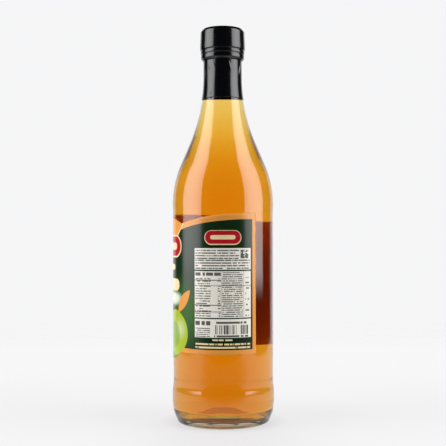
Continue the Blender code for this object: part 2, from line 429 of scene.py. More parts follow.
def eased(points, radius, count):
    """Rounds each inner corner: a quadratic curve that starts and ends the radius away from it."""
    points = np.asarray(points, float)
    out = [points[:1]]
    share = np.linspace(0, 1, count + 1)[:, None]
    for before, corner, after in zip(points, points[1:], points[2:]):
        back, back_length = before - corner, np.linalg.norm(before - corner)
        ahead, ahead_length = after - corner, np.linalg.norm(after - corner)
        first = corner + back / back_length * min(radius, back_length * EASE_SHARE)
        last = corner + ahead / ahead_length * min(radius, ahead_length * EASE_SHARE)
        out.append((1 - share) ** 2 * first + 2 * share * (1 - share) * corner + share**2 * last)
    out.append(points[-1:])
    return np.concatenate(out)


def spread(outline, columns):
    """The outline repeated for every column: two arrays, radius and height, rows by columns."""
    return np.repeat(outline[:, :1], columns, axis=1), np.repeat(outline[:, 1:], columns, axis=1)


def column_angles(columns):
    """Angles of the columns, from the middle of the front label towards +X."""
    return np.arange(columns) * (2 * math.pi / columns)


def finish_mesh(name, points, faces, materials, face_slots=None):
    """Points and faces into a smooth-shaded object at the origin."""
    mesh = bpy.data.meshes.new(name)
    mesh.from_pydata(points.tolist(), [], faces)
    for material in materials:
        mesh.materials.append(material)
    mesh.shade_smooth()
    if face_slots is not None:
        mesh.polygons.foreach_set("material_index", np.asarray(face_slots, np.int32))
    mesh.update()
    piece = bpy.data.objects.new(name, mesh)
    bpy.context.scene.collection.objects.link(piece)
    triangles = sum(len(face) - 2 for face in faces)
    print(name, len(points), "points,", triangles, "triangles")
    return piece


def turned(name, radius, height, materials, row_slots=None):
    """Closes a grid round the axis. Point (i, j) is (r sin t, -r cos t, z) at the column's angle t.

    The first and last rows lie on the axis and become one point each. Rows that run up the
    outside face outwards.
    """
    rows, columns = radius.shape
    angle = column_angles(columns)
    ring = np.stack([radius * np.sin(angle), -radius * np.cos(angle), height], axis=2)
    body = ring[1:-1].reshape(-1, 3)
    points = np.concatenate([ring[0, :1], body, ring[-1, :1]])
    this = np.arange(columns)
    following = (this + 1) % columns
    top = len(points) - 1
    first = 1
    last = 1 + (rows - 3) * columns
    start = np.stack([np.zeros_like(this), first + following, first + this], axis=1)
    end = np.stack([np.full_like(this, top), last + this, last + following], axis=1)
    base = 1 + np.arange(rows - 3)[:, None] * columns
    above = base + columns
    quads = np.stack([base + this, base + following, above + following, above + this], axis=2)
    faces = start.tolist() + quads.reshape(-1, 4).tolist() + end.tolist()
    slots = None
    if row_slots is not None:
        slots = np.repeat(np.asarray(row_slots), columns)
    return finish_mesh(name, points, faces, materials, slots)


# %% [markdown]
# ## The bottle's outline
# The glass is a wall of even thickness that follows two round curves: the full shoulder and the
# long hollow of the neck, with a short straight cone between them. A curve moved inwards by the
# wall keeps its centre and changes only its radius, so one function gives inside and outside.

# %% Outline of the upper bottle
SHOULDER_RADIUS = 33.1 * MM
SHOULDER_START = 141.8 * MM
SHOULDER_CURVE = 67.0 * MM
NECK_CURVE = 116.4 * MM
SHOULDER_SLOPE = math.radians(23.3)
NECK_RADIUS = 12.35 * MM
WALL = 2.7 * MM


def neck_height():
    """Height where the hollow curve runs out into the straight neck."""
    drawn_in = 1 - math.cos(SHOULDER_SLOPE)
    cone_foot = SHOULDER_RADIUS - SHOULDER_CURVE * drawn_in
    cone_head = NECK_RADIUS + NECK_CURVE * drawn_in
    rise = (cone_foot - cone_head) / math.tan(SHOULDER_SLOPE)
    return SHOULDER_START + rise + (SHOULDER_CURVE + NECK_CURVE) * math.sin(SHOULDER_SLOPE)


def upper_outline(inset):
    """Shoulder, cone and neck curve from low to high, moved inwards by inset."""
    shoulder_centre = (SHOULDER_RADIUS - SHOULDER_CURVE, SHOULDER_START)
    neck_centre = (NECK_RADIUS + NECK_CURVE, neck_height())
    shoulder = arc(shoulder_centre, SHOULDER_CURVE - inset, 0, SHOULDER_SLOPE, 22)
    neck = arc(neck_centre, NECK_CURVE + inset, math.pi + SHOULDER_SLOPE, math.pi, 34)
    return joined(shoulder, line(shoulder[-1], neck[0], 4), neck)


print("straight neck starts at", round(neck_height() * 1000, 1), "mm")

# %% Outline of the inside
FLOOR_HEIGHT = 4.2 * MM
FLOOR_DOME = 3.8 * MM
CORNER_CURVE = 6.0 * MM


def cavity_outline(inset):
    """Inside of the bottle from the middle of its floor up to the straight bore.

    The floor is a low dome, a cosine hump that is highest in the middle, and runs into a
    quarter round at the wall.
    """
    side = SHOULDER_RADIUS - inset
    curve = CORNER_CURVE - (inset - WALL)
    floor = FLOOR_HEIGHT + (inset - WALL)
    corner_centre = (side - curve, floor + curve)
    out = np.linspace(0, 1, 15)
    hump = FLOOR_DOME * (0.5 + 0.5 * np.cos(out * math.pi))
    dome = np.stack([out * corner_centre[0], floor + hump], axis=1)
    corner = arc(corner_centre, curve, -math.pi / 2, 0, 14)
    upper = upper_outline(inset)
    return joined(dome, corner, line(corner[-1], upper[0], 16), upper)


# %% Outline of the outside
BAND_RADIUS = glass_high[0] - 0.01 * MM
PANEL_RADIUS = 32.86 * MM
HEEL_RADIUS = 32.9 * MM
SEAM_HEIGHT = 7.8 * MM
HEEL_HEIGHT = 7.5 * MM
FOOT_RADIUS = 28.6 * MM
FOOT_WIDTH = 2.4 * MM
FOOT_CURVE = 1.95 * MM
PUNT_HEIGHT = 5.6 * MM
PUNT_EDGE = 0.15 * MM  # the hollow ends this high above the standing ring
PUNT_POWER = 2.2
HEEL_EASE = 2.2 * MM
BAND_START = 2.4 * MM  # the band begins this far above the heel's corner
BAND_FOOT = 0.12 * MM  # and this far outside it
BAND_FLAT = 15.0 * MM  # from here up the band's middle is nearly straight
EDGE_HEIGHTS = [17.5, 18.6, 19.3, 20.4, 21.2, 21.8, 23.6, 24.3, 25.2, 27.0, 28.2, 29.0, 29.8]
EDGE_SLOPES = [0.0, 0.01, 0.05, 0.06, 0.1, 0.16, 0.165, 0.11, 0.06, 0.048, 0.046, 0.012, 0.0]
PANEL_DIP = 0.15 * MM  # the glass just above the band is this much slimmer than the panel
DIP_END = 45.0 * MM
PANEL_TOP = 137.0 * MM
FINISH_RADIUS = 12.9 * MM
FINISH_START = 239.5 * MM
MOUTH_HEIGHT = glass_high[2]


def foot_outline():
    """From the middle of the hollow base over the standing ring to the foot's outer curve.

    The hollow is an arch: its height falls a little faster than the square of the way out.
    """
    inner_foot = FOOT_RADIUS - FOOT_WIDTH
    out = np.linspace(0, 1, 14)
    arch = PUNT_EDGE + (PUNT_HEIGHT - PUNT_EDGE) * (1 - out**PUNT_POWER)
    punt = np.stack([out * inner_foot, arch], axis=1)
    ring_in = np.array([inner_foot + 0.5 * MM, 0.0])
    ring_out = np.array([FOOT_RADIUS - 0.2 * MM, 0.0])
    ring = line(ring_in, ring_out, 4)
    curve = arc((FOOT_RADIUS, FOOT_CURVE), FOOT_CURVE, -math.pi / 2, math.radians(-28), 7)
    return joined(punt, ring, curve)


def side_outline(foot_end):
    """Heel, the raised contact band and the label's panel.

    The slope of the band's upper edge is read from a short table. The radius is the running sum
    of that slope from the band's flat middle up, scaled so that it ends a dip inside the panel,
    and a straight stretch brings it back out to the panel. Below its flat middle the band draws
    in by a parabola.
    """
    heel = (HEEL_RADIUS, HEEL_HEIGHT)
    heel_end = (HEEL_RADIUS + 0.1 * MM, HEEL_HEIGHT + 6.0 * MM)
    corner = eased([foot_end, heel, heel_end], HEEL_EASE, 12)
    below = np.linspace(HEEL_HEIGHT + BAND_START, BAND_FLAT, 12)
    bulge = BAND_RADIUS - PANEL_RADIUS + PANEL_DIP
    drop = (BAND_FLAT - below) / (BAND_FLAT - below[0])
    low = BAND_RADIUS - (BAND_RADIUS - HEEL_RADIUS - BAND_FOOT) * drop**2
    heights = np.linspace(EDGE_HEIGHTS[0], EDGE_HEIGHTS[-1], 68) * MM
    slope = np.interp(heights, np.array(EDGE_HEIGHTS) * MM, EDGE_SLOPES)
    rise = np.concatenate([[0.0], np.cumsum((slope[1:] + slope[:-1]) / 2)])
    edge = BAND_RADIUS - bulge * rise / rise[-1]
    band = np.stack([np.concatenate([low, edge]), np.concatenate([below, heights])], axis=1)
    dip = line(band[-1], (PANEL_RADIUS, DIP_END), 10)
    return joined(corner[:-1], band, dip, line(dip[-1], (PANEL_RADIUS, PANEL_TOP), 20))


def mouth_outline():
    """The ring that the closure grips, over the mouth and down to the bore."""
    bore = NECK_RADIUS - WALL
    return eased(
        [
            (NECK_RADIUS, neck_height() + 1.0 * MM),
            (NECK_RADIUS, FINISH_START - 0.6 * MM),
            (FINISH_RADIUS, FINISH_START + 0.3 * MM),
            (FINISH_RADIUS, MOUTH_HEIGHT),
            (bore, MOUTH_HEIGHT),
            (bore, MOUTH_HEIGHT - 3.0 * MM),
        ],
        0.8 * MM,
        4,
    )


# %% [markdown]
# ## Clear glass
# Flint glass is almost without colour. It bends light and mirrors the softboxes at its skin.
# Where the drink wets the wall there is hardly any mirror, because glass and vinegar bend light
# nearly alike. A renderer meets the two skins one after the other, each as if it stood in air, so
# the wetted wall has its own finish with the mirror turned down. The bending still adds up to the
# true amount.
#
# The base is thick and stippled. Two more finishes tint it, once at each crossing of the skin: the
# foot is tinted tan, partly for its dusty stippled glass and partly as painted dim amber light that
# has run through the drink, and the cavity's floor has a tint that takes red out of the amber above
# it, which leaves olive.

# %% Glass finishes
GLASS_IOR = 1.52
DRINK_IOR = 1.34
CLEAR = (1.0, 1.0, 1.0, 1.0)
WETTED_MIRROR = (0.08, 0.08, 0.08, 1.0)
# tan foot: partly dust on the stippled glass, partly painted amber light that has come through the drink
FOOT_DUST_AND_AMBER_LIGHT = (0.54, 0.42, 0.29, 1.0)
BED_TINT = (0.71, 0.88, 0.96, 1.0)


def glass_finish(name, mirror, colour):
    """Smooth glass with a mirror of a given strength, a tint and a very faint ripple."""
    material, tree, shader = new_material(name)
    shader.inputs["Base Color"].default_value = colour
    shader.inputs["Roughness"].default_value = 0.0
    shader.inputs["IOR"].default_value = GLASS_IOR
    shader.inputs["Transmission Weight"].default_value = 1.0
    shader.inputs["Specular Tint"].default_value = mirror
    ripple = noise(tree, object_place(tree), 90.0, 1.0, 0.4)
    relief(tree, shader, ripple, 0.02 * MM, 0.5)
    return material


clear_glass = glass_finish("clear_glass", CLEAR, CLEAR)
wetted_glass = glass_finish("wetted_glass", WETTED_MIRROR, CLEAR)
foot_glass = glass_finish("foot_glass", CLEAR, FOOT_DUST_AND_AMBER_LIGHT)
bed_glass = glass_finish("bed_glass", WETTED_MIRROR, BED_TINT)

# %% Turn the glass
KNURL_COLUMNS = 3  # columns to each small ridge of the standing ring
KNURL_DEPTH = 0.22 * MM
FOOT_TOP = 5.7 * MM  # up to here the thick foot looks tan
BED_RADIUS = 26.0 * MM  # out to here the glass under the drink looks olive


def knurled(radius, height, outside_rows):
    """Lifts two of every three places of the standing ring, which leaves a ring of small ridges.

    The lift follows a bell over the ring's own width and is cut off above the foot.
    """
    ring_middle = FOOT_RADIUS - FOOT_WIDTH / 2 + 0.4 * MM
    ridge = (np.arange(radius.shape[1]) % KNURL_COLUMNS != 0).astype(float)
    near = np.exp(-(((radius - ring_middle) / (1.5 * MM)) ** 2)) * (height < 1.2 * MM)
    lift = KNURL_DEPTH * near * ridge
    lift[outside_rows:] = 0
    return height + lift


def nubbed(radius, height, outside_rows):
    """Adds the two small nubs where the mould's halves close on its base plate."""
    angle = column_angles(radius.shape[1])
    for middle in (VIEW_AZIMUTH - math.pi / 2, VIEW_AZIMUTH + math.pi / 2):
        turn = np.angle(np.exp(1j * (angle - middle))) * HEEL_RADIUS
        bell = np.exp(-((turn / (1.1 * MM)) ** 2))[None, :]
        band = np.exp(-(((height - SEAM_HEIGHT) / (0.7 * MM)) ** 2))
        swell = 0.2 * MM * bell * band
        swell[outside_rows:] = 0
        radius = radius + swell
    return radius


def wavy(radius, height, outside_rows):
    """Uneven wall: the inside wanders by a few hundredths of a millimetre round and up."""
    angle = column_angles(radius.shape[1])[None, :]
    wander = np.sin(2 * angle + height / (31 * MM)) + 0.6 * np.sin(3 * angle - height / (19 * MM) + 1.3)
    depth = 0.05 * MM * np.clip(radius / (30 * MM), 0, 1)
    push = depth * wander
    push[:outside_rows] = 0
    return radius + push


def make_glass():
    """The whole bottle as one closed skin: outside up, over the mouth, and inside down."""
    foot = foot_outline()
    outside = joined(foot, side_outline(foot[-1]), upper_outline(0.0))
    mouth = mouth_outline()
    inside = cavity_outline(WALL)[::-1]
    outline = joined(outside, mouth, inside)
    outside_rows = len(outside) + len(mouth)
    radius, height = spread(outline, GLASS_COLUMNS)
    height = knurled(radius, height, outside_rows)
    radius = nubbed(radius, height, outside_rows)
    radius = wavy(radius, height, outside_rows)
    print("outline rows", len(outline))
    return turned("bottle_glass", radius, height, *glass_slots(outline, outside_rows))


def glass_slots(outline, outside_rows):
    """The four finishes, and for each row of faces the number of its finish."""
    far_radius, far_height = outline[1:, 0], outline[1:, 1]
    middle_height = (far_height + outline[:-1, 1]) / 2
    inner = np.arange(len(middle_height)) >= outside_rows - 2
    wetted = inner & (middle_height < vinegar_high[2])
    foot_top = np.where(far_radius < FOOT_RADIUS, PUNT_HEIGHT, FOOT_TOP)
    foot = ~inner & (far_height <= foot_top)
    bed_top = FLOOR_HEIGHT + FLOOR_DOME + 0.1 * MM
    bed = inner & (far_radius < BED_RADIUS) & (far_height < bed_top)
    finishes = [clear_glass, wetted_glass, foot_glass, bed_glass]
    numbers = [finishes.index(finish) for finish in (bed_glass, wetted_glass, foot_glass)]
    return finishes, np.select([bed, wetted, foot], numbers, finishes.index(clear_glass))


bottle_glass = make_glass()
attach(bottle_glass, "root")
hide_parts("glass_bottle")

# %% [markdown]
# ## The vinegar
# The drink is clear and colours light only by depth: straw yellow in the thin neck, deep orange
# through the full body. That is absorption, not paint, so the piece is a plain clear liquid with
# an absorbing volume. It reaches a hair into the wall, or a film of air would shine between them.

# %% Pour the vinegar
REACH = 0.05 * MM  # how far the drink runs into the wall
MENISCUS = 1.1 * MM  # how high the drink creeps up the glass
MENISCUS_WIDTH = 1.4 * MM
DRINK_COLOUR = (0.954, 0.766, 0.1, 1.0)
DRINK_DENSITY = 110.0


def drink_finish():
    """Clear liquid that takes most of the blue, some green and little red from the light."""
    material, tree, shader = new_material("amber_vinegar")
    shader.inputs["Base Color"].default_value = CLEAR
    shader.inputs["Roughness"].default_value = 0.0
    shader.inputs["IOR"].default_value = DRINK_IOR
    shader.inputs["Transmission Weight"].default_value = 1.0
    shader.inputs["Specular Tint"].default_value = (0.0, 0.0, 0.0, 1.0)
    absorption = tree.nodes.new("ShaderNodeVolumeAbsorption")
    absorption.inputs["Color"].default_value = DRINK_COLOUR
    absorption.inputs["Density"].default_value = DRINK_DENSITY
    tree.links.new(absorption.outputs["Volume"], tree.nodes["Material Output"].inputs["Volume"])
    return material


def make_vinegar():
    """The cavity's outline up to the level, then the surface with its raised rim to the axis.

    The surface height is the level plus an exponential that dies away from the wall.
    """
    wall = cavity_outline(WALL - REACH)
    level = vinegar_high[2]
    wall = wall[wall[:, 1] < level + MENISCUS]
    rim = wall[-1, 0]
    share = np.linspace(0, 1, 26) ** 2
    radius = rim * (1 - share)
    height = level + (wall[-1, 1] - level) * np.exp(-(rim - radius) / MENISCUS_WIDTH)
    surface = np.stack([radius, height], axis=1)
    radius, height = spread(joined(wall, surface), DRINK_COLUMNS)
    inside = wavy(radius[: len(wall)], height[: len(wall)], 0)
    radius = np.concatenate([inside, radius[len(wall) :]])
    return turned("vinegar_fill", radius, height, [drink_finish()])


vinegar_fill = make_vinegar()
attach(vinegar_fill, "root")
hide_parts("vinegar")

# %% [markdown]
# ## The capsule
# A tube of black film was slipped over the screw closure and shrunk with heat. It lies tight on
# the neck, keeps the closure's two pressed grooves and its drawn-in rim, and has small creases
# where it had to shrink most, just under the closure.

# %% Shrink the film over the mouth
FILM = 0.2 * MM
CLEARANCE = 0.04 * MM  # between the film and the neck
MOUTH_CLEARANCE = 0.1 * MM
CAP_RADIUS = capsule_high[0]
TOTAL_HEIGHT = capsule_high[2]
CAPSULE_EDGE = capsule_low[2]
CAP_BAND_RADIUS = 14.45 * MM
CAP_RIM_RADIUS = 14.2 * MM
UPPER_GROOVE = 243.0 * MM
LOWER_GROOVE = 240.6 * MM
GROOVE_DEPTH = 0.3 * MM
GROOVE_HALF = 0.45 * MM
CAP_RIM_HEIGHT = 238.0 * MM
STEP_DROP = 1.75 * MM


def sleeve_radius(height):
    """Radius of the glass at a height, read from its outline."""
    glass = joined(upper_outline(0.0), np.array([[NECK_RADIUS, FINISH_START]]))
    return np.interp(height, glass[:, 1], glass[:, 0])


def capsule_outline():
    """Roof from the axis, down inside the film, round its cut edge and up the outside to the top."""
    low_step = CAP_RIM_HEIGHT - STEP_DROP
    heights = np.linspace(CAPSULE_EDGE, low_step, 40)
    on_glass = sleeve_radius(heights) + CLEARANCE
    roof = MOUTH_HEIGHT + MOUTH_CLEARANCE
    grip = FINISH_RADIUS + MOUTH_CLEARANCE
    inside = [(0.0, roof), (grip, roof), (grip, FINISH_START), (on_glass[-1], low_step)]
    inner = eased(inside, 0.3 * MM, 3)
    sleeve_in = np.stack([on_glass, heights], axis=1)[::-1]
    sleeve_out = np.stack([on_glass + FILM, heights], axis=1)
    cap = eased(
        [
            tuple(sleeve_out[-1]),
            (CAP_RIM_RADIUS - 0.1 * MM, CAP_RIM_HEIGHT - 0.2 * MM),
            (CAP_RIM_RADIUS, CAP_RIM_HEIGHT + 0.4 * MM),
            (CAP_RIM_RADIUS + 0.05 * MM, LOWER_GROOVE - GROOVE_HALF),
            (CAP_RIM_RADIUS - GROOVE_DEPTH, LOWER_GROOVE),
            (CAP_BAND_RADIUS - 0.05 * MM, LOWER_GROOVE + GROOVE_HALF),
            (CAP_BAND_RADIUS, UPPER_GROOVE - GROOVE_HALF),
            (CAP_BAND_RADIUS - GROOVE_DEPTH, UPPER_GROOVE),
            (CAP_RADIUS - 0.05 * MM, UPPER_GROOVE + 2.0 * GROOVE_HALF),
            (CAP_RADIUS - 0.08 * MM, UPPER_GROOVE + 4.0 * MM),
            (CAP_RADIUS - 0.33 * MM, TOTAL_HEIGHT - 4.0 * MM),
            (CAP_RADIUS - 0.37 * MM, TOTAL_HEIGHT - 1.95 * MM),
            (CAP_RADIUS - 1.8 * MM, TOTAL_HEIGHT - 0.02 * MM),
            (CAP_RADIUS - 3.2 * MM, TOTAL_HEIGHT - 0.05 * MM),
            (CAP_RADIUS - 3.5 * MM, TOTAL_HEIGHT - 0.25 * MM),
            (0.0, TOTAL_HEIGHT - 0.3 * MM),
        ],
        0.45 * MM,
        5,
    )
    return joined(inner, sleeve_in, sleeve_out, cap)


DRAWN_CREASES = 9
CREASE_SEED = 11
SEEN_CREASES = [  # angle, height, width, length, lean and height of the ridge
    (VIEW_AZIMUTH + math.radians(21), 232.6 * MM, 0.4 * MM, 2.2 * MM, -0.3, 0.2 * MM),
    (VIEW_AZIMUTH + math.radians(62), 230.4 * MM, 0.45 * MM, 2.8 * MM, 0.2, 0.3 * MM),
    (VIEW_AZIMUTH - math.radians(36), 214.0 * MM, 0.4 * MM, 2.0 * MM, 0.2, 0.14 * MM),
]


def creased(radius, height, first_outer_row):
    """Film creases: narrow ridges that run down from under the closure and fade out.

    Each ridge is a bell round the bottle times a bell up it, leaning a little. The whole sleeve
    also bulges unevenly by a slow wave.
    """
    angle = column_angles(radius.shape[1])[None, :]
    rng = np.random.default_rng(CREASE_SEED)
    lift = np.zeros_like(radius)
    drawn = [
        (
            rng.uniform(0, 2 * math.pi),
            rng.uniform(226, 235) * MM,
            rng.uniform(0.25, 0.5) * MM,
            rng.uniform(2.0, 5.0) * MM,
            rng.uniform(-0.35, 0.35),
            rng.uniform(0.06, 0.16) * MM,
        )
        for _ in range(DRAWN_CREASES)
    ]
    for middle, place, width, length, lean, tall in SEEN_CREASES + drawn:
        across = np.angle(np.exp(1j * (angle - middle))) * NECK_RADIUS - lean * (height - place)
        lift += tall * np.exp(-((across / width) ** 2)) * np.exp(-(((height - place) / length) ** 2))
    below = 1 / (1 + np.exp((height - (CAP_RIM_HEIGHT - 0.8 * MM)) / (0.25 * MM)))
    slow = 0.02 * MM * (np.sin(5 * angle + height / (4 * MM)) + np.sin(7 * angle - height / (6 * MM)) + 1)
    lift = (lift + slow) * below
    lift[:first_outer_row] = 0
    return radius + lift


def film_finish():
    """Gloss black shrink film, slightly orange-peeled, with finger-sized dull patches."""
    material, tree, shader = new_material("black_film")
    shader.inputs["Base Color"].default_value = (0.0022, 0.0024, 0.003, 1.0)
    shader.inputs["IOR"].default_value = 1.54
    place = object_place(tree)
    patches = noise(tree, place, 120.0, 3.0, 0.6)
    feed(tree, shader.inputs["Roughness"], ranged(tree, patches, 0.1, 0.2))
    relief(tree, shader, noise(tree, place, 900.0, 2.0, 0.5), 0.012 * MM, 0.6)
    return material


def make_capsule():
    """Turned film with its creases pushed out of the grid."""
    outline = capsule_outline()
    radius, height = spread(outline, FILM_COLUMNS)
    first_outer_row = int(np.argmin(outline[:, 1])) + 2
    radius = creased(radius, height, first_outer_row)
    return turned("capsule_film", radius, height, [film_finish()])


capsule_film = make_capsule()
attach(capsule_film, "root")
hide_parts("capsule")

# %% [markdown]
# ## The label's sheet
# One die-cut sheet of coated paper goes two thirds of the way round. Its top edge arches over the
# front, dips at two notches and rises along each side panel. A round part of the print hangs
# below the bottom edge at the front. The sheet is a grid in angle and height whose lower and
# upper ends follow those two edges, given a thickness of its own.

# %% Cut and wrap the sheet
SHEET = 0.11 * MM
SHEET_RADIUS = PANEL_RADIUS + 0.042 * MM
LABEL_HALF_ANGLE = 126.2
LABEL_BOTTOM = 47.4 * MM
LABEL_TOP = label_high[2]
NOTCH_ANGLE = 34.5
NOTCH_HEIGHT = 129.6 * MM
ARCH_HEIGHT = 133.8 * MM
ROUNDEL_RADIUS = 22.0 * MM
ROUNDEL_HEIGHT = 64.0 * MM
ROUNDEL_OFFSET = 3.8 * MM


def label_top(angle):
    """Top edge by angle in degrees: a parabola over the front, then two kinds of rising curve."""
    rise = LABEL_TOP - NOTCH_HEIGHT
    front = ARCH_HEIGHT - (ARCH_HEIGHT - NOTCH_HEIGHT) * (angle / NOTCH_ANGLE) ** 2
    share = np.clip((np.abs(angle) - NOTCH_ANGLE) / (LABEL_HALF_ANGLE - NOTCH_ANGLE), 0, 1)
    right = NOTCH_HEIGHT + rise * (1 - (1 - share) ** 2.3)
    left = NOTCH_HEIGHT + rise * np.sin(math.pi * share**0.7)
    side = np.where(angle > 0, right, left)
    return np.where(np.abs(angle) <= NOTCH_ANGLE, front, side)


def label_bottom(angle):
    """Bottom edge: straight, with a circle's lower part hanging below it at the front."""
    along = np.radians(angle) * PANEL_RADIUS - ROUNDEL_OFFSET
    inside = np.clip(ROUNDEL_RADIUS**2 - along**2, 0, None)
    return np.minimum(LABEL_BOTTOM, ROUNDEL_HEIGHT - np.sqrt(inside))


# %% [markdown]
# The print is laid out in areas: the front picture, the ground of the side panels, and three pale
# boxes on each side panel. The sheet's columns and rows run along the areas' edges, so each area
# is a set of whole faces with its own ink pattern. That keeps every pattern small.

# %% Lay out the printed areas
BOX_SIDES = (31.5, 68.5)  # millimetres along the paper from the middle of the front
BOXES = [(100.4, 113.9), (70.4, 99.5), (58.0, 69.6)]  # heights in millimetres
FRONT_HALF = 30.0
BORDER = 2.6  # width of the upright borders at both ends
TOP_BORDER = 3.9
BORDER_TOP = 50.3  # height where the lower border ends
HEAD_START = 125.0  # from this height up the rows follow the top edge
ROUNDEL_CUTS = (10.6, 18.2)  # where the hanging part leaves the straight edge, at either side
COLUMN_STEP = 0.8
ROW_STEP = 1.6
SHEET_END = math.radians(LABEL_HALF_ANGLE) * PANEL_RADIUS / MM
NOTCH_ALONG = math.radians(NOTCH_ANGLE) * PANEL_RADIUS / MM


def stretched(breaks, step):
    """All the breaks, with evenly spaced values between each two of them."""
    stretches = []
    for start, end in zip(breaks, breaks[1:]):
        parts = max(1, int(np.ceil((end - start) / step)))
        stretches.append(np.linspace(start, end, parts + 1))
    return np.unique(np.round(np.concatenate(stretches), 6))


def printed_area(along, up):
    """Number of the area: 0 front, 1 side ground, and 2 to 4 the pale boxes from the top."""
    side = np.abs(along)
    area = np.where(side < FRONT_HALF, 0, 1)
    in_boxes = (side > BOX_SIDES[0]) & (side < BOX_SIDES[1])
    for number, (low, high) in enumerate(BOXES, start=2):
        area = np.where(in_boxes & (up > low) & (up < high), number, area)
    return area


def sheet_plan():
    """Angle of each column in degrees and height of each place in metres, columns by rows.

    Rows between two fixed heights are the same for all columns. Below and above them the rows
    share out what is left to the sheet's lower and upper edge.
    """
    half = [0.0, *ROUNDEL_CUTS, NOTCH_ALONG, FRONT_HALF, *BOX_SIDES, SHEET_END - BORDER, SHEET_END]
    along = stretched(sorted({-v for v in half} | set(half)), COLUMN_STEP)
    box_edges = sorted(v for box in BOXES for v in box)
    fixed = stretched([BORDER_TOP, *box_edges, HEAD_START], ROW_STEP) * MM
    angle = np.degrees(along * MM / PANEL_RADIUS)
    share = np.linspace(0, 1, 8)
    low = label_bottom(angle)[:, None]
    high = label_top(angle)[:, None]
    foot = low + (fixed[0] - low) * share[None, :-1]
    head = fixed[-1] + (high - fixed[-1]) * share[None, 1:]
    middle = np.repeat(fixed[None, :], len(angle), axis=0)
    return angle, np.concatenate([foot, middle, head], axis=1)


def sheet_places(angle, height, offset):
    """The plan bent round the bottle, at an offset from the inner face, with a faint ripple."""
    turn = np.radians(angle)[:, None]
    ripple = 0.012 * MM * np.sin(turn * 9 + height / (17 * MM)) * np.sin(height / (11 * MM) + 2 * turn)
    radius = SHEET_RADIUS + offset + ripple
    return np.stack([radius * np.sin(turn), -radius * np.cos(turn), height], axis=2)


def make_label(area_materials, paper_material):
    """Outer face, inner face and the cut edge between them, with the print's own UV maps.

    The map "print" is arc length and height in millimetres. The first number of the map "margin"
    is the distance below the top edge.
    """
    angle, height = sheet_plan()
    columns, rows = height.shape
    both_sides = [sheet_places(angle, height, offset).reshape(-1, 3) for offset in (SHEET, 0.0)]
    points = np.concatenate(both_sides)
    index = np.arange(columns * rows).reshape(columns, rows)
    back = index + columns * rows
    a, b, c, d = index[:-1, :-1], index[1:, :-1], index[1:, 1:], index[:-1, 1:]
    front_faces = np.stack([a, b, c, d], axis=2).reshape(-1, 4)
    back_faces = front_faces[:, ::-1] + columns * rows
    low = np.stack([index[:-1, 0], back[:-1, 0], back[1:, 0], index[1:, 0]], axis=1)
    high = np.stack([index[1:, -1], back[1:, -1], back[:-1, -1], index[:-1, -1]], axis=1)
    left = np.stack([index[0, 1:], back[0, 1:], back[0, :-1], index[0, :-1]], axis=1)
    right = np.stack([index[-1, :-1], back[-1, :-1], back[-1, 1:], index[-1, 1:]], axis=1)
    faces = np.concatenate([front_faces, back_faces, low, high, left, right])
    along = np.repeat((np.radians(angle) * PANEL_RADIUS / MM)[:, None], rows, axis=1)
    middle_along = (along[:-1, :-1] + along[1:, :-1]) / 2
    middle_up = (height[:-1, :-1] + height[1:, 1:]) / 2 / MM
    slots = np.full(len(faces), len(area_materials), np.int32)
    slots[: len(front_faces)] = printed_area(middle_along, middle_up).ravel()
    materials = [*area_materials, paper_material]
    piece = finish_mesh("label_sheet", points, faces.tolist(), materials, slots)
    add_print_maps(piece.data, angle, height, along)
    return piece


def add_print_maps(mesh, angle, height, along):
    """Writes both UV maps: the same value for a point of the outer and of the inner face."""
    below = (label_top(angle)[:, None] - height) / MM
    corner_points = np.empty(len(mesh.loops), np.int32)
    mesh.loops.foreach_get("vertex_index", corner_points)
    corner_points %= height.size
    for map_name, u, v in (("print", along, height / MM), ("margin", below, np.zeros_like(below))):
        layer = mesh.uv_layers.new(name=map_name)
        values = np.stack([u.ravel()[corner_points], v.ravel()[corner_points]], axis=1)
        layer.data.foreach_set("uv", values.ravel())


# %% [markdown]
# ## The print
# A label is printed in fields of colour, one over the other. Here each field is a mask worked
# out from the print's own coordinates, in millimetres on the paper, and a colour laid down
# through it. The small rows are plain blocks of uneven length, so they give the grey of small
# print without any words. Both side panels share one layout, counted from the panel's middle.

# %% Print helpers
PANEL_MIDDLE = sum(BOX_SIDES) / 2
WORD_CELLS = 6.3  # a longer gap can fall after this many cells of a row
WORD_FILL = 0.13  # the share by which those gaps are rarer than the small ones
FAR_SEED = 23.0  # sets the random rows of the two side panels apart


